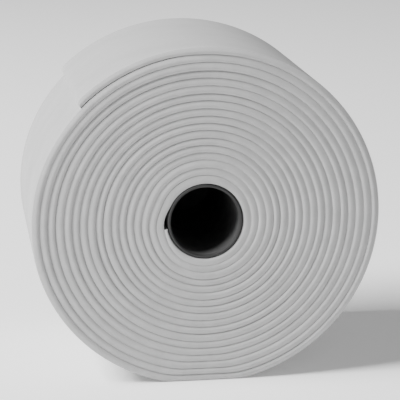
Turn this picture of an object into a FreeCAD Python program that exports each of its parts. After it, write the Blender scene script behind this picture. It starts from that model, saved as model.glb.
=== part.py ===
import FreeCAD, Part
import math
import os

# A grip tape roll, in millimetres. It stands on its rim: its axis lies along Y, its open
# side faces -Y, and the origin is the middle of the core, on its bore's axis. Angles are
# measured about the axis from +X towards +Z, and places along the tape in turns from its start.

# Tape
tape_width = 30.0
face_thickness = 0.15
foam_thickness = 0.7725
lap_gap = 0.03  # air between one turn and the next
lap_slack = 0.0094  # each turn lies this much looser than the one under it
tape_turns = 17.85
start_angle = 190.0
first_climb = 0.3  # share of the first turn over which it climbs onto the tape's start

# Adhesive strip down the middle of the tape's underside, and the liner that covers it
strip_width = 8.0
strip_thickness = 0.06
liner_overhang = 1.0
liner_thickness = 0.09
channel_clearance = 0.15  # between each edge of the liner and the foam's channel

# Core
bore_radius = 4.85
core_wall = 0.45
core_lip = 0.15  # chamfer at each mouth of the bore
stop_thickness = 0.8  # wall across the bore, which stops a spindle
stop_inset = 3.0  # from the far mouth of the bore to that wall
tack_thickness = 0.1
tack_width = 20.0
tack_arc = 80.0

# How the soft roll settles on its rim
oval_share = 0.0147  # how much wider than round the outermost turn is, as a share of its radius
oval_angle = 15.0
base_sag = 0.8  # how far the weight pushes the outermost turn in
sag_reach = 8.0  # depth of tape over which that fades away
base_rounding = 0.6  # from the corner of a flattened turn to where its rounding ends

# Free end
free_end_arc = 40.0
peel_gap = 0.15  # between the free end and the tape around it

core_radius = bore_radius + core_wall
stop_front = tape_width / 2 - stop_inset - stop_thickness
wound_radius = core_radius + tack_thickness
lap = face_thickness + foam_thickness + lap_gap
channel_depth = strip_thickness + liner_thickness
liner_width = strip_width + 2 * liner_overhang
channel_width = liner_width + 2 * channel_clearance
root_turn = tape_turns - free_end_arc / 360
base_angle = 270.0
base_turn = (base_angle - start_angle) / 360


def spiral(turn):
    """Radius of the line between two turns, in a round roll: a spiral that opens slowly."""
    return wound_radius + lap * turn + lap_slack * turn**2 / 2


outer_radius = spiral(tape_turns + 1) - lap_gap


def underside(turn):
    """Round radius of the tape's underside. The first turn lies on the core, then climbs."""
    if turn >= 1:
        return spiral(turn)
    share = max(0.0, (turn - 1) / first_climb + 1)
    climb = share**2 * (3 - 2 * share)
    return wound_radius + (spiral(1) - wound_radius) * climb


def top(turn):
    """Round radius of the tape's outer face."""
    return spiral(turn + 1) - lap_gap


def settled(radius, turn, lift=0.0):
    """The point of a round radius after the soft roll has settled into an oval."""
    angle = math.radians(start_angle + 360 * turn)
    depth = (radius - core_radius) / (outer_radius - core_radius)
    swell = oval_share * depth * math.cos(2 * (angle - math.radians(oval_angle)))
    resting = radius * (1 + swell) + lift
    return FreeCAD.Vector(resting * math.cos(angle), 0, resting * math.sin(angle))


def base_of(radius, turn):
    """How far below the axis a turn rests, and half the length that its weight flattens."""
    round_depth = settled(radius(turn), turn).Length
    sunk = max(0.0, 1 + (round_depth - outer_radius) / sag_reach)
    depth = round_depth - base_sag * sunk**2
    return depth, math.sqrt(round_depth**2 - depth**2)


def round_arcs(radius, first, last, lift):
    """Arcs of about 30 degrees that follow a radius from one place along the tape to another."""
    count = max(1, round((last - first) * 12))
    arcs = []
    for step in range(count):
        places = [first + (last - first) * (step + share) / count for share in (0, 0.5, 1)]
        through = [settled(radius(turn), turn, lift) for turn in places]
        arcs.append(Part.Arc(*through).toShape())
    return arcs


def lap_line(radius, first, last, lift):
    """The line that a radius, a function of the turn, follows from one place to another.

    Where a turn is flattened at the roll's base, it is straight, with a rounded corner at
    each end.
    """
    edges = []
    place = first
    for whole in range(math.ceil(first - base_turn), math.ceil(last - base_turn)):
        base = base_turn + whole
        depth, half = base_of(radius, base)
        if half > base_rounding:
            reach = math.atan2(half + base_rounding, depth) / (2 * math.pi)
            edges += round_arcs(radius, place, base - reach, lift)
            corners = []
            for side in (-1, 1):
                on_round = settled(radius(base + side * reach), base + side * reach)
                corner = FreeCAD.Vector(side * half, 0, -depth)
                on_flat = FreeCAD.Vector(side * (half - base_rounding), 0, -depth)
                bend = (on_round + corner * 2 + on_flat) / 4
                corners.append([on_round, bend, on_flat][::-side])
            edges.append(Part.Arc(*corners[0]).toShape())
            edges.append(Part.makeLine(corners[0][2], corners[1][0]))
            edges.append(Part.Arc(*corners[1]).toShape())
            place = base + reach
    return Part.Wire(edges + round_arcs(radius, place, last, lift))


def at_width(shape, y):
    return shape.translated(FreeCAD.Vector(0, y, 0))


def band(line, low, high):
    """The faces that a line sweeps from one place across the tape to another."""
    return at_width(line, low).extrude(FreeCAD.Vector(0, high - low, 0)).Faces


def between(low_line, high_line):
    """The flat face between two lines, with a straight edge at each end."""
    ends = []
    for place in (0, -1):
        points = [line.OrderedVertexes[place].Point for line in (low_line, high_line)]
        ends.append(Part.makeLine(*points))
    edges = low_line.OrderedEdges + [ends[1]] + high_line.OrderedEdges[::-1] + [ends[0]]
    return Part.Face(Part.Wire(edges))


def ribbon(inner, outer, first, last, width, lift=0.0):
    """A layer of the wound tape, between two radii that are functions of the turn."""
    side = between(lap_line(inner, first, last, lift), lap_line(outer, first, last, lift))
    return at_width(side, -width / 2).extrude(FreeCAD.Vector(0, width, 0))


def liner_top(turn):
    return underside(turn) + liner_thickness


def channel_top(turn):
    return underside(turn) + channel_depth


def foam_top(turn):
    return top(turn) - face_thickness


def face_film(first, last, lift=0.0):
    return ribbon(foam_top, top, first, last, tape_width, lift)


def foam_backing(first, last, lift=0.0):
    """The foam, with the channel that the adhesive strip and its liner lie in."""
    low_line = lap_line(underside, first, last, lift)
    channel_line = lap_line(channel_top, first, last, lift)
    top_line = lap_line(foam_top, first, last, lift)
    edge = tape_width / 2
    wall = channel_width / 2
    faces = band(low_line, -edge, -wall) + band(low_line, wall, edge)
    faces += band(channel_line, -wall, wall) + band(top_line, -edge, edge)
    for side in (-1, 1):
        faces.append(at_width(between(low_line, top_line), side * edge))
        faces.append(at_width(between(low_line, channel_line), side * wall))
    for place in (0, -1):
        low, channel, high = (
            line.OrderedVertexes[place].Point for line in (low_line, channel_line, top_line)
        )
        notched = [(high, -edge), (low, -edge), (low, -wall), (channel, -wall)]
        notched += [(channel, wall), (low, wall), (low, edge), (high, edge), (high, -edge)]
        corners = [point + FreeCAD.Vector(0, y, 0) for point, y in notched]
        faces.append(Part.Face(Part.makePolygon(corners)))
    skin = Part.makeShell(faces)
    skin.sewShape()
    return Part.makeSolid(Part.Shell(skin.Faces))


def adhesive_strip(first, last, lift=0.0):
    return ribbon(liner_top, channel_top, first, last, strip_width, lift)


def release_liner(first, last, lift=0.0):
    return ribbon(underside, liner_top, first, last, liner_width, lift)


def along_axis(radius, first, last):
    return Part.makeCylinder(
        radius, last - first, FreeCAD.Vector(0, first, 0), FreeCAD.Vector(0, 1, 0)
    )


def core_tube():
    """A tube with a wall across its bore near the far mouth, and both mouths chamfered."""
    side = tape_width / 2
    tube = along_axis(core_radius, -side, side)
    tube = tube.cut(along_axis(bore_radius, -side, stop_front))
    tube = tube.cut(along_axis(bore_radius, stop_front + stop_thickness, side))
    mouths = []
    for edge in tube.Edges:
        round_edge = edge.Curve.TypeId == "Part::GeomCircle"
        if round_edge and edge.Curve.Radius < core_radius - core_wall / 2:
            if abs(abs(edge.Curve.Center.y) - side) < core_lip:
                mouths.append(edge)
    return tube.makeChamfer(core_lip, mouths)


def core_surface(turn):
    return core_radius


def tack_top(turn):
    return wound_radius


def core_tack_strip():
    """A patch of double-sided tape on the core, under the start of the grip tape."""
    return ribbon(core_surface, tack_top, 0, tack_arc / 360, tack_width)


peel_turn = root_turn + peel_gap / (2 * math.pi * outer_radius)
hinge = settled(top(root_turn), root_turn, peel_gap)
parts = {
    "core_tube": core_tube(),
    "core_tack_strip": core_tack_strip(),
    "face_film": face_film(0, root_turn),
    "foam_backing": foam_backing(0, root_turn),
    "adhesive_strip": adhesive_strip(0, root_turn),
    "release_liner": release_liner(0, root_turn),
    "end_face_film": face_film(peel_turn, tape_turns, peel_gap),
    "end_foam_backing": foam_backing(peel_turn, tape_turns, peel_gap),
    "end_adhesive_strip": adhesive_strip(peel_turn, tape_turns, peel_gap),
    "end_release_liner": release_liner(peel_turn, tape_turns, peel_gap),
}

os.makedirs("parts", exist_ok=True)
for name, shape in parts.items():
    shape.exportStep(f"parts/{name}.step")
    print(name, shape.isValid(), len(shape.Solids), round(shape.Volume, 1), shape.BoundBox)
print("free end hinges on the line through", hinge, "along Y")
print("the bore's wall runs from", core_lip - tape_width / 2, "to", stop_front)
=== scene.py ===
import bpy
import numpy as np
from mathutils import Matrix, Vector


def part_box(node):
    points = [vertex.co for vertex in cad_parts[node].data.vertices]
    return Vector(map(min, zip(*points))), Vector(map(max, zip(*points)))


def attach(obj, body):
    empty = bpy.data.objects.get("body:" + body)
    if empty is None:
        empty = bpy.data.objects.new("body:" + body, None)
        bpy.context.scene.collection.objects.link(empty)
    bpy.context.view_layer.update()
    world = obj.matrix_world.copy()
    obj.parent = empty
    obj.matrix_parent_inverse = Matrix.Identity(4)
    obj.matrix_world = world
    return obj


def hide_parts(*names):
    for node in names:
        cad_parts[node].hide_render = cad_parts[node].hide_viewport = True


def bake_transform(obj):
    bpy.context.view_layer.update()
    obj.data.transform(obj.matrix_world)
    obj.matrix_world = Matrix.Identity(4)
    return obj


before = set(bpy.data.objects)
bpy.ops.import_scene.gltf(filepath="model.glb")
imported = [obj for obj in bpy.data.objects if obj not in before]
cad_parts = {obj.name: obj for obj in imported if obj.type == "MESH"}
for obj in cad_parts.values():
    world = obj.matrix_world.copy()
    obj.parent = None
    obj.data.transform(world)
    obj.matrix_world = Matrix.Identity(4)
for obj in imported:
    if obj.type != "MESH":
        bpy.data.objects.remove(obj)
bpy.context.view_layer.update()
mm = 0.001

# The roll's axis is along Y and its open side faces -Y. Angles run from +X towards +Z,
# and a place along the tape is counted in turns from its start on the core.
coreLow, coreHigh = (np.array(corner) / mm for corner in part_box("core_tube"))
tapeLow, tapeHigh = (np.array(corner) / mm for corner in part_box("face_film"))
coreRadius = (coreHigh[0] - coreLow[0]) / 2
tapeWidth = tapeHigh[1] - tapeLow[1]
floorHeight = tapeLow[2]

# How the tape is wound. Sizes are in millimetres and angles in degrees. A rise is the width of
# a change along the tape, in degrees, and the share of that width that lies before its place.
winding = {
    "tack": 0.1,  # thickness of the patch under the tape's start
    "lap": 0.9525,
    "slack": 0.0094,  # how much more the next lap takes than the one inside it
    "turns": 17.85,
    "startAngle": 190.0,
    "climb": 0.1,  # share of a turn over which the tape climbs onto its own start
    "climbFade": 0.7,  # share of the step that each turn passes on to the next
    "squashedStart": 0.5,  # share of its thickness that the tape's start keeps
    "squashReach": 0.1,
    "squashFade": 0.85,
    "freeEndAngle": 40.0,
    "peelGap": 0.01,
    "peelRise": (16.0, 0.9),
    "samplesPerTurn": 120,
    "endSamplesPerTurn": 240,
}
# How the soft roll settles: oval, with a flat base that fades away inside it.
settling = {
    "ovalShare": 0.0147,
    "ovalAngle": 15.0,
    "baseAngle": 270.0,
    "sag": 0.8,  # how far the base is pressed in
    "reach": 8.0,  # depth into the roll at which its turns are round again
    "leastSunk": 0.001,
    "softness": 0.12,
    "leastSine": 0.5,  # keeps the level finite away from the base
    "baseSine": 0.52,  # the base counts only where the angle's sine is below minus this
}
# The cut edges of the tape: rounded, and never wound quite in line.
edges = {
    "depth": 0.25,
    "coreDepth": 0.12,  # depth at the core, which grows to the full one over the core's turns
    "coreTurns": 5.0,
    "roundness": 2.2,
    "lean": 0.25,
    "from": 0.3,  # points farther out than this share of the width belong to an edge
    "drift": 0.07,
    "driftWaves": ((6.1, 0.4, 1.0), (2.37, 1.9, 0.7), (11.3, 0.0, 0.5)),  # rate, start, height
    "swell": 0.05,
    "swellWaves": ((4.3, 0.8, 1.0), (9.7, 2.2, 0.6)),
    "endRecess": 0.08,
    "recessRise": (26.0, 0.6),
    "endTilt": 0.14,
    "tiltRise": (12.0, 0.5),
    "endRound": 1.3,
    "endSquash": 0.42,
    "endPoints": 9,
    "endSpacing": 0.001,  # least share of a turn between the end's points and the others
    "shoulder": 0.32,
    "shoulderWidth": 0.9,
    "shoulderSteps": (0.08, 0.2, 0.4, 0.65, 1.0),
    "shoulderRise": (10.0, 0.5),
    "points": 10,
    "curve": (-0.5, 0.42),  # how much of a sine the foam's points follow, in half turns
    "creaseAngle": 38.0,
}
woundRadius = coreRadius + winding["tack"]
baseTurn = (settling["baseAngle"] - winding["startAngle"]) / 360
rootTurn = winding["turns"] - winding["freeEndAngle"] / 360
seamTurn = baseTurn + 17  # where the outer pieces begin, at the bottom of the roll


# Rises from 0 to 1 with no corner at either end: 3x^2 - 2x^3.
def ease(share):
    share = np.clip(share, 0, 1)
    return share**2 * (3 - 2 * share)


# Rises from 0 to 1 over a width in degrees, of which a share lies before a place on the tape.
def riseAt(turn, place, rise):
    width, before = rise
    return ease((turn - place) * 360 / width + before)


# Sum of sines of the place on the tape, each with its rate, its start and its height.
def sineSum(turn, waves):
    return sum(height * np.sin(rate * turn + start) for rate, start, height in waves)


# Radius of the line between two turns: the start plus a lap per turn, opening with the square.
def spiral(turn):
    return woundRadius + winding["lap"] * turn + winding["slack"] * turn**2 / 2


# A turn's underside is the spiral, less what its innermost turns lack: they lie as circles
# that step up at the tape's start, and the start itself is squashed. Both fade turn by turn.
def underside(turn):
    turn = np.asarray(turn, float)
    whole = np.floor(turn)
    part = turn - whole
    climb = ease((part - 1) / winding["climb"] + 1)
    stepped = (part - climb) * winding["climbFade"] ** whole
    nearest = np.round(turn)
    squash = np.exp(-(((turn - nearest) / winding["squashReach"]) ** 2))
    squash = squash * (1 - winding["squashedStart"]) * winding["squashFade"] ** (nearest - 1)
    above = spiral(turn) - winding["lap"] * (stepped + squash * (turn >= 1))
    firstRise = (spiral(turn) - winding["lap"] * stepped - woundRadius) * (1 - squash)
    return np.where(turn >= 1, above, woundRadius + firstRise)


# The tape's outer face is the underside of the turn around it.
def outerFace(turn):
    return underside(np.asarray(turn, float) + 1)


outerRadius = outerFace(winding["turns"])


# Radius plus a share of it that grows outwards and follows the cosine of twice the angle.
def ovalRadius(radius, angle):
    depth = (radius - coreRadius) / (outerRadius - coreRadius)
    swell = settling["ovalShare"] * depth
    return radius * (1 + swell * np.cos(2 * (angle - np.radians(settling["ovalAngle"]))))


# The place of a height over the tape's underside, at a turn: the oval radius, held above the
# level that its turn rests on by the smooth least of the two.
def settle(turn, share, height, lift):
    def roundRadius(at):
        low = underside(at)
        return low + share * (outerFace(at) - low) + height

    angle = np.radians(winding["startAngle"] + 360 * turn)
    resting = ovalRadius(roundRadius(turn), angle)
    baseDepth = roundRadius(baseTurn + np.round(turn - baseTurn))
    baseDepth = ovalRadius(baseDepth, np.radians(settling["baseAngle"]))
    sunk = 1 + (baseDepth - outerRadius) / settling["reach"]
    sunk = np.maximum(sunk, settling["leastSunk"])
    sine = np.sin(angle)
    level = baseDepth - settling["sag"] * sunk**2
    level = level / np.maximum(-sine, settling["leastSine"])
    softness = settling["softness"] * sunk
    over = (resting - level) / softness
    pressed = np.minimum(resting, level) - softness * np.log1p(np.exp(-np.abs(over)))
    radius = np.where(sine < -settling["baseSine"], pressed, resting) + lift
    return np.stack([radius * np.cos(angle), radius * sine], -1)


# The free end stands off the roll by the peel gap, from a little before its root.
def peelLift(turn):
    return winding["peelGap"] * riseAt(turn, rootTurn, winding["peelRise"])


# How far a turn's edge wanders sideways: the waves' sum over the sum of their heights.
def sideDrift(turn):
    heights = sum(height for _, _, height in edges["driftWaves"])
    return edges["drift"] * sineSum(turn, edges["driftWaves"]) / heights


# The free end's edge on the open side steps back from a little before its root.
def endStep(turn):
    return edges["endRecess"] * riseAt(turn, rootTurn, edges["recessRise"])


# How far the edge falls back at a level between -1, the underside, and 1, the outer face:
# the depth times a power of the level, which leans so that the inner side is the steeper.
# The depth swells in waves along the tape, and is less near the core. The free end's edge
# tilts as well, in a straight line from one face to the other.
def edgeRecess(level, turn):
    leaning = level + edges["lean"] * (1 - level**2)
    swell = edges["swell"] * sineSum(turn, edges["swellWaves"])
    tilt = edges["endTilt"] * riseAt(turn, rootTurn, edges["tiltRise"]) * (1 - level) / 2
    outward = ease(turn / edges["coreTurns"])
    depth = edges["coreDepth"] + (edges["depth"] - edges["coreDepth"]) * outward
    return (depth + swell) * np.abs(leaning) ** edges["roundness"] + tilt


# One closed loop of points across the tape is carried along it. loop(turn) gives, for each
# place, the share of the tape's thickness, the height above that, and the place across. With
# endRound, the last points lie closer and closer together, as a sine flattens.
def carriedLoop(name, loop, first, last, perTurn, endRound=0.0):
    count = int(np.ceil((last - first) * perTurn)) + 1
    turn = np.linspace(first, last, count)[:, None]
    around = 2 * np.pi * outerRadius
    if endRound:
        quarter = np.linspace(0, np.pi / 2, edges["endPoints"])[:, None]
        tip = last - endRound * (1 - np.sin(quarter)) / around
        turn = np.concatenate([turn[turn[:, 0] < tip[0, 0] - edges["endSpacing"]], tip])
    share, height, across = loop(turn)
    turn, share, height, across = np.broadcast_arrays(turn, share, height, across)
    height = height - shoulderDrop(across, share, turn)
    lift = peelLift(turn)
    if endRound:
        # The end is squashed thin and round: its height falls by a quarter round.
        near = 1 - np.clip((last - turn) * around / endRound, 0, 1)
        worn = 1 - edges["endSquash"] * (1 - np.sqrt(1 - near**2))
        share, height = share * worn, height * worn
    flat = settle(turn, share, height, lift)
    isEdge = np.abs(across) > tapeWidth * edges["from"]
    y = across + sideDrift(turn) * np.sign(across) * isEdge
    y = y + endStep(turn) * (across < 0) * isEdge
    points = np.stack([flat[..., 0], y, flat[..., 1]], -1) * mm
    along = (turn * (woundRadius + winding["lap"] * turn / 2)) * 2 * np.pi
    unrolled = np.stack([along, across, share * winding["lap"] + height], -1) * mm
    return loopMesh(name, points, unrolled)


# Quads between neighbours of a grid that closes across, with a flat cap at each end. The
# faces are turned over if the closed mesh's volume comes out negative. Each point keeps its
# place on the unrolled tape, for the patterns.
def loopMesh(name, points, unrolled):
    rows, columns = points.shape[:2]
    index = np.arange(rows * columns).reshape(rows, columns)
    quads = np.stack(
        [
            index[:-1],
            index[1:],
            np.roll(index[1:], -1, axis=1),
            np.roll(index[:-1], -1, axis=1),
        ],
        -1,
    ).reshape(-1, 4)
    caps = [index[0], index[-1, ::-1]]
    flat = points.reshape(-1, 3)
    a, b, c, d = (flat[quads[:, k]] for k in range(4))
    volume = (a * np.cross(b, c)).sum() + (a * np.cross(c, d)).sum()
    for cap in caps:
        corners = flat[cap]
        volume += (corners[0] * np.cross(corners[1:-1], corners[2:])).sum()
    if volume < 0:
        quads = quads[:, ::-1]
        caps = [cap[::-1] for cap in caps]
    faces = quads.tolist() + [cap.tolist() for cap in caps]
    mesh = bpy.data.meshes.new(name)
    mesh.from_pydata(flat.tolist(), [], faces)
    place = mesh.attributes.new("tapePlace", "FLOAT_VECTOR", "POINT")
    place.data.foreach_set("vector", unrolled.reshape(-1).astype(np.float32))
    mesh.shade_smooth()
    mesh.set_sharp_from_angle(angle=np.radians(edges["creaseAngle"]))
    mesh.update()
    piece = bpy.data.objects.new(name, mesh)
    bpy.context.collection.objects.link(piece)
    return piece


filmSizes = {
    "thickness": 0.15,
    "inset": 0.006,
    "topPoints": 7,
    "edgeSteps": (0.0, 0.35, 0.7, 1.0),
}
foamSizes = {"channelHalfWidth": 5.15, "channelDepth": 0.15}
linerSizes = {"thickness": 0.09, "halfWidth": 5.0}
stripSizes = {"thickness": 0.06, "halfWidth": 4.0}


# Level of the joint between foam and film, where the tape's thickness runs from -1 to 1.
def filmLevel(turn):
    return 1 - 2 * filmSizes["thickness"] / (outerFace(turn) - underside(turn))


# How far the tape's outer corners are worn down where no turn covers them: a quarter round
# over the shoulder's width, that fades towards the underside and under the turn above.
def shoulderDrop(across, share, turn):
    near = np.clip((np.abs(across) - tapeWidth / 2) / edges["shoulderWidth"] + 1, 0, 1)
    bare = riseAt(turn, winding["turns"] - 1, edges["shoulderRise"])
    return edges["shoulder"] * (1 - np.sqrt(1 - near**2)) * np.clip(share, 0, 1) ** 2 * bare


# Places across, from one edge of the tape to the other, close together near the corners.
def acrossPlaces(side, middlePoints):
    reach = edges["shoulderWidth"]
    near = side[:, -1:] - reach * np.array(edges["shoulderSteps"])[None]
    middle = (side[:, -1:] - reach) * np.linspace(1, -1, middlePoints + 2)[None, 1:-1]
    return np.concatenate([near, middle, -near[:, ::-1]], axis=1)


# Up one edge of the foam, over its top, down the other edge and along the channel below.
# Points lie closer together where the edge curves more.
def foamLoop(turn):
    bend = np.sin(np.linspace(*edges["curve"], edges["points"]) * np.pi)[None]
    bend = (bend + 1) / (bend.max() + 1)
    level = -1 + bend * (filmLevel(turn) + 1)
    side = tapeWidth / 2 - edgeRecess(level, turn)
    top = acrossPlaces(side, 0)
    wall, deep = foamSizes["channelHalfWidth"], foamSizes["channelDepth"]
    one = np.ones_like(turn)
    up = (level + 1) / 2
    share = np.concatenate([0 * one] * 4 + [up, up[:, -1:] + 0 * top, up[:, ::-1]], axis=1)
    channel = np.concatenate([0 * one, deep * one, deep * one, 0 * one], axis=1)
    height = np.concatenate([channel, 0 * level, 0 * top, 0 * level], axis=1)
    walls = np.concatenate([-wall * one, -wall * one, wall * one, wall * one], axis=1)
    across = np.concatenate([walls, side, top, -side[:, ::-1]], axis=1)
    return share, height, across


# The film lies on the foam, and its edge carries on the curve of the foam's edge.
def filmLoop(turn):
    bend = np.array(filmSizes["edgeSteps"])[None]
    low = filmLevel(turn)
    level = low + bend * (1 - low)
    side = tapeWidth / 2 - edgeRecess(level, turn) - filmSizes["inset"]
    top = acrossPlaces(side, filmSizes["topPoints"])
    under = acrossPlaces(side[:, :1], 0)[:, ::-1]
    up = (level + 1) / 2
    share = np.concatenate([up, 1 + 0 * top, up[:, ::-1], up[:, :1] + 0 * under], axis=1)
    across = np.concatenate([side, top, -side[:, ::-1], under], axis=1)
    return share, 0 * share, across


# A thin flat strip under the tape, from one height to another, with eased corners.
def stripLoop(low, high, halfWidth):
    def loop(turn):
        corner = (high - low) / 3
        flat = halfWidth - corner
        up = np.array([low, low, low + corner, high - corner, high, high])
        side = np.array([0.0, flat, halfWidth, halfWidth, flat, 0.0])
        height = np.concatenate([up, up[-2:0:-1]])[None] + 0 * turn
        across = np.concatenate([side, -side[-2:0:-1]])[None] + 0 * turn
        return 0 * height, height, across

    return loop


layers = {
    "tape_face": (filmLoop, "face_film"),
    "tape_foam": (foamLoop, "foam_backing"),
    "tape_liner": (
        stripLoop(0.0, linerSizes["thickness"], linerSizes["halfWidth"]),
        "release_liner",
    ),
    "tape_adhesive": (
        stripLoop(
            linerSizes["thickness"],
            linerSizes["thickness"] + stripSizes["thickness"],
            stripSizes["halfWidth"],
        ),
        "adhesive_strip",
    ),
}
pieces = {}
for name, (loop, node) in layers.items():
    wound = carriedLoop(name, loop, 0.0, seamTurn, winding["samplesPerTurn"])
    outer = carriedLoop(
        name + "_end",
        loop,
        seamTurn,
        winding["turns"],
        winding["endSamplesPerTurn"],
        edges["endRound"],
    )
    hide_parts(node)
    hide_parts("end_" + node)
    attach(wound, "roll")
    pieces[name], pieces[name + "_end"] = wound, outer
print("tape wound:", len(pieces), "layers")


# The core: each lip is a quarter round, and a wall stops the bore near its far mouth.
tube = {
    "bore": 4.85,
    "lip": 0.2,
    "lipPoints": 6,
    "around": 160,
    "stopFront": 11.2,
    "stopThickness": 0.8,
    "stopCorner": 0.3,
    "spokes": (1.0, 2.2, 3.4),  # rings of points on the stop wall, from its middle
    "rings": (6.0, 0.0, -6.0, -11.0),  # rings of points along the tube
}


# The outline of the tube's section, as places along it and out from the axis, is turned about
# Y. It runs from the middle of the stop wall's front out of the near mouth, along the outside,
# and in at the far mouth to the middle of the stop wall's back.
def coreTube():
    lip, corner, half = tube["lip"], tube["stopCorner"], tapeWidth / 2
    turnIn = np.linspace(0, np.pi / 2, tube["lipPoints"])
    spokes = np.array(tube["spokes"])
    front, back = tube["stopFront"], tube["stopFront"] + tube["stopThickness"]
    wallY = corner * (1 - np.cos(turnIn))
    wallR = tube["bore"] - corner * (1 - np.sin(turnIn))
    along = np.array(tube["rings"])
    mouthY = half - lip + lip * np.sin(turnIn)
    mouthR = tube["bore"] + lip - lip * np.cos(turnIn)
    rimY = half - lip + lip * np.cos(turnIn)
    rimR = coreRadius - lip + lip * np.sin(turnIn)
    y = [front + 0 * spokes, front - wallY, along, -mouthY, -rimY, -along[::-1], rimY[::-1]]
    y += [mouthY[::-1], back + wallY[::-1], back + 0 * spokes]
    r = [spokes, wallR, tube["bore"] + 0 * along, mouthR, rimR, coreRadius + 0 * along]
    r += [rimR[::-1], mouthR[::-1], wallR[::-1], spokes[::-1]]
    y, r = np.concatenate(y), np.concatenate(r)
    angle = np.linspace(0, 2 * np.pi, tube["around"], endpoint=False)[None]
    y, r = y[:, None], r[:, None]
    points = np.stack([r * np.cos(angle), y + 0 * angle, r * np.sin(angle)], -1) * mm
    return loopMesh("core", points, points)


core = coreTube()
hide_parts("core_tube")
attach(core, "roll")
print("core turned")


# A node group: named inputs with a kind and a value, and named outputs with a kind.
def newGroup(name, inputs, outputs):
    tree = bpy.data.node_groups.new(name, "ShaderNodeTree")
    for label, kind, value in inputs:
        socket = tree.interface.new_socket(label, in_out="INPUT", socket_type="NodeSocket" + kind)
        if value is not None:
            socket.default_value = value
    for label, kind in outputs:
        tree.interface.new_socket(label, in_out="OUTPUT", socket_type="NodeSocket" + kind)
    return tree, tree.nodes.new("NodeGroupInput"), tree.nodes.new("NodeGroupOutput")


# A shader node: settings go by their own names, and values go to the input of that label.
def addNode(tree, kind, **values):
    node = tree.nodes.new("ShaderNode" + kind)
    for label, value in values.items():
        if label in ("data_type", "operation", "attribute_name"):
            setattr(node, label, value)
        else:
            node.inputs[label.replace("_", " ")].default_value = value
    return node


skinSizes = {
    "grainDetail": (3.0, 0.6),  # detail and roughness of the noise
    "cloudDetail": (4.0, 0.55),
    "pitScale": 0.55,  # against the grain's scale
    "pitShare": 0.45,  # against the grain's height
    "cloudSpan": (0.35, 0.65),  # where nearly all of the clouds' values lie
}


# Soft skin: clouds are slow noise, grain is fine noise plus small round pits.
def skinGroup():
    tree, start, end = newGroup(
        "soft_skin",
        [
            ("Place", "Vector", None),
            ("Grain Scale", "Float", 2600.0),
            ("Cloud Scale", "Float", 140.0),
        ],
        [("Height", "Float"), ("Cloud", "Float")],
    )
    detail, rough = skinSizes["grainDetail"]
    grain = addNode(tree, "TexNoise", Detail=detail, Roughness=rough)
    detail, rough = skinSizes["cloudDetail"]
    cloud = addNode(tree, "TexNoise", Detail=detail, Roughness=rough)
    pits = addNode(tree, "TexVoronoi")
    pitScale = addNode(tree, "Math", operation="MULTIPLY")
    pitScale.inputs[1].default_value = skinSizes["pitScale"]
    total = addNode(tree, "Math", operation="MULTIPLY_ADD")
    total.inputs[1].default_value = skinSizes["pitShare"]
    link = tree.links.new
    for node in (grain, cloud, pits):
        link(start.outputs["Place"], node.inputs["Vector"])
    link(start.outputs["Grain Scale"], grain.inputs["Scale"])
    link(start.outputs["Grain Scale"], pitScale.inputs[0])
    link(pitScale.outputs[0], pits.inputs["Scale"])
    link(start.outputs["Cloud Scale"], cloud.inputs["Scale"])
    link(pits.outputs["Distance"], total.inputs[0])
    link(grain.outputs[0], total.inputs[2])
    link(total.outputs[0], end.inputs["Height"])
    link(cloud.outputs[0], end.inputs["Cloud"])
    return tree


skin = skinGroup()

# One finish for each layer of the tape. Colours and roughness go as light and dark clouds do.
finishes = {
    "tape_face": {
        "slot": "tape_face",
        "light": (0.45, 0.45, 0.45),
        "dark": (0.4, 0.4, 0.4),
        "rough": (0.5, 0.66),
        "grain": 2600.0,
        "cloud": 150.0,
        "bump": 0.26,
        "bumpDepth": 0.00006,
    },
    "tape_foam": {
        "slot": "tape_foam",
        "light": (0.44, 0.44, 0.44),
        "dark": (0.4, 0.4, 0.4),
        "rough": (0.8, 0.95),
        "grain": 5200.0,
        "cloud": 420.0,
        "bump": 0.35,
        "bumpDepth": 0.00005,
    },
    "tape_liner": {
        "slot": "liner",
        "light": (0.78, 0.78, 0.76),
        "dark": (0.7, 0.7, 0.67),
        "rough": (0.3, 0.45),
        "grain": 1800.0,
        "cloud": 260.0,
        "bump": 0.1,
        "bumpDepth": 0.00002,
    },
    "tape_adhesive": {
        "slot": "adhesive",
        "light": (0.66, 0.63, 0.53),
        "dark": (0.58, 0.55, 0.45),
        "rough": (0.2, 0.35),
        "grain": 900.0,
        "cloud": 300.0,
        "bump": 0.15,
        "bumpDepth": 0.00004,
    },
}


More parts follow.
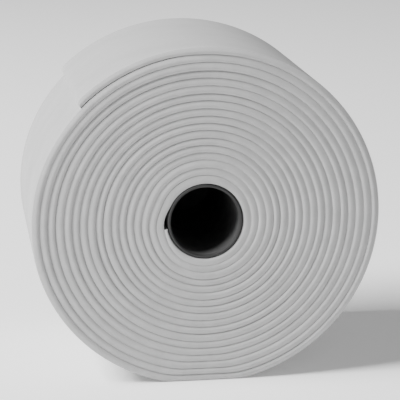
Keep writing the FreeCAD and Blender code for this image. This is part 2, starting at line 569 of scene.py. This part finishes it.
# Colour and roughness go between two values with the clouds, and the grain is a bump. The
# pattern follows the unrolled tape, or the piece's own place when no attribute is named.
def softMaterial(name, finish, attribute="tapePlace"):
    material = bpy.data.materials.new(name)
    material.use_nodes = True
    tree = material.node_tree
    shader = tree.nodes["Principled BSDF"]
    if attribute:
        place = addNode(tree, "Attribute", attribute_name=attribute).outputs["Vector"]
    else:
        place = addNode(tree, "TexCoord").outputs["Object"]
    effect = tree.nodes.new("ShaderNodeGroup")
    effect.node_tree = skin
    effect.inputs["Grain Scale"].default_value = finish["grain"]
    effect.inputs["Cloud Scale"].default_value = finish["cloud"]
    least, most = skinSizes["cloudSpan"]
    spread = addNode(tree, "MapRange", From_Min=least, From_Max=most)
    colour = addNode(tree, "Mix", data_type="RGBA")
    colour.inputs[6].default_value = (*finish["dark"], 1)  # sockets 6 and 7 are the colours
    colour.inputs[7].default_value = (*finish["light"], 1)
    rough = addNode(tree, "MapRange", From_Min=least, From_Max=most)
    rough.inputs["To Min"].default_value = finish["rough"][1]
    rough.inputs["To Max"].default_value = finish["rough"][0]
    bump = addNode(tree, "Bump", Strength=finish["bump"], Distance=finish["bumpDepth"])
    link = tree.links.new
    link(place, effect.inputs["Place"])
    link(effect.outputs["Cloud"], spread.inputs["Value"])
    link(spread.outputs[0], colour.inputs[0])
    link(colour.outputs[2], shader.inputs["Base Color"])
    link(effect.outputs["Cloud"], rough.inputs["Value"])
    link(rough.outputs[0], shader.inputs["Roughness"])
    link(effect.outputs["Height"], bump.inputs["Height"])
    link(bump.outputs[0], shader.inputs["Normal"])
    return material


for name, finish in finishes.items():
    material = softMaterial(name, finish)
    for piece in (pieces[name], pieces[name + "_end"]):
        piece.data.materials.append(material)

coreFinish = {
    "slot": "core_plastic",
    "light": (0.064, 0.064, 0.064),
    "dark": (0.046, 0.046, 0.046),
    # painted shade: the darker colour near the tube's two ends
    "paintedEndShade": (0.016, 0.016, 0.016),
    "endShadeStart": 0.0144,  # metres from the tube's middle
    "endShadeFull": 0.0149,
    "rough": (0.6, 0.75),
    "grain": 1400.0,
    "cloud": 500.0,
    "bump": 0.12,
    "bumpDepth": 0.00003,
}
corePlastic = softMaterial("core_plastic", coreFinish, attribute=None)


# Painted shade on the tube's ends: the colour darkens evenly with the distance from its middle.
def paintEndShade(material, finish):
    tree = material.node_tree
    shader = tree.nodes["Principled BSDF"]
    along = addNode(tree, "SeparateXYZ")
    distance = addNode(tree, "Math", operation="ABSOLUTE")
    share = addNode(tree, "MapRange", From_Min=finish["endShadeStart"], From_Max=finish["endShadeFull"])
    colour = addNode(tree, "Mix", data_type="RGBA")
    colour.inputs[7].default_value = (*finish["paintedEndShade"], 1)
    link = tree.links.new
    link(addNode(tree, "TexCoord").outputs["Object"], along.inputs[0])
    link(along.outputs["Y"], distance.inputs[0])
    link(distance.outputs[0], share.inputs["Value"])
    link(share.outputs[0], colour.inputs[0])
    link(shader.inputs["Base Color"].links[0].from_socket, colour.inputs[6])
    link(colour.outputs[2], shader.inputs["Base Color"])


paintEndShade(corePlastic, coreFinish)
core.data.materials.append(corePlastic)

tackFinish = {
    "light": (0.66, 0.62, 0.5),
    "dark": (0.58, 0.54, 0.42),
    "rough": (0.25, 0.4),
    "grain": 1500.0,
    "cloud": 400.0,
    "bump": 0.1,
    "bumpDepth": 0.00003,
}
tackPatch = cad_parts["core_tack_strip"]
tackMaterial = softMaterial("tack_film", tackFinish, attribute=None)
for materialSlot in tackPatch.material_slots:
    materialSlot.material = tackMaterial
print("finishes set")

# The free end's pieces have their placement baked into their meshes.
for name in layers:
    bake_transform(pieces[name + "_end"])


# The stage's sizes are in metres.
stageSizes = {
    "floorHalf": 3.0,
    "floorColour": (0.93, 0.93, 0.93),
    "floorRough": 0.9,
    "floorGlow": 0.15,
    "worldLight": 0.24,
}


# A wide plain floor just under the roll's base.
def studioFloor():
    half, height = stageSizes["floorHalf"], floorHeight * mm
    square = ((-half, -half), (half, -half), (half, half), (-half, half))
    corners = [(x, y, height) for x, y in square]
    mesh = bpy.data.meshes.new("studio_floor")
    mesh.from_pydata(corners, [], [(0, 1, 2, 3)])
    floor = bpy.data.objects.new("studio_floor", mesh)
    bpy.context.collection.objects.link(floor)
    material = bpy.data.materials.new("studio_floor")
    material.use_nodes = True
    shader = material.node_tree.nodes["Principled BSDF"]
    shader.inputs["Base Color"].default_value = (*stageSizes["floorColour"], 1)
    shader.inputs["Roughness"].default_value = stageSizes["floorRough"]
    shader.inputs["Emission Color"].default_value = (1, 1, 1, 1)
    shader.inputs["Emission Strength"].default_value = stageSizes["floorGlow"]
    mesh.materials.append(material)


studioFloor()

keyLight = {"from": (-0.68, -0.15, 0.715), "distance": 0.7, "size": 0.3, "watts": 13.5}


# One square lamp that looks at the roll from a direction and a distance, in an even pale world.
def studioLights():
    lamp = bpy.data.lights.new("key", "AREA")
    lamp.shape = "SQUARE"
    lamp.size = keyLight["size"]
    lamp.energy = keyLight["watts"]
    holder = bpy.data.objects.new("key", lamp)
    direction = Vector(keyLight["from"]).normalized()
    holder.location = direction * keyLight["distance"]
    holder.rotation_euler = direction.to_track_quat("Z", "Y").to_euler()
    bpy.context.collection.objects.link(holder)
    world = bpy.data.worlds.new("studio")
    world.use_nodes = True
    background = world.node_tree.nodes["Background"]
    background.inputs["Color"].default_value = (1, 1, 1, 1)
    background.inputs["Strength"].default_value = stageSizes["worldLight"]
    bpy.context.scene.world = world


studioLights()

viewing = {
    "aim": (-0.00065, -0.01417, 0.00292),
    "distance": 0.2498,
    "back": (-0.1420, -0.9620, 0.2334),
    "right": (0.9893, -0.1460, 0.0),
    "lens": 161.2,
    "sensor": 36.0,
    "nearest": 0.01,
}


# The camera stands back from its aim, level, to the left and a little above the roll.
def studioCamera():
    camera = bpy.data.cameras.new("camera")
    camera.lens = viewing["lens"]
    camera.sensor_width = viewing["sensor"]
    camera.clip_start = viewing["nearest"]
    holder = bpy.data.objects.new("camera", camera)
    bpy.context.collection.objects.link(holder)
    back = Vector(viewing["back"]).normalized()
    right = Vector(viewing["right"]).normalized()
    turned = Matrix((right, back.cross(right), back)).transposed().to_4x4()
    stand = Vector(viewing["aim"]) + back * viewing["distance"]
    holder.matrix_world = Matrix.Translation(stand) @ turned
    bpy.context.scene.camera = holder


studioCamera()
print("stage lit")
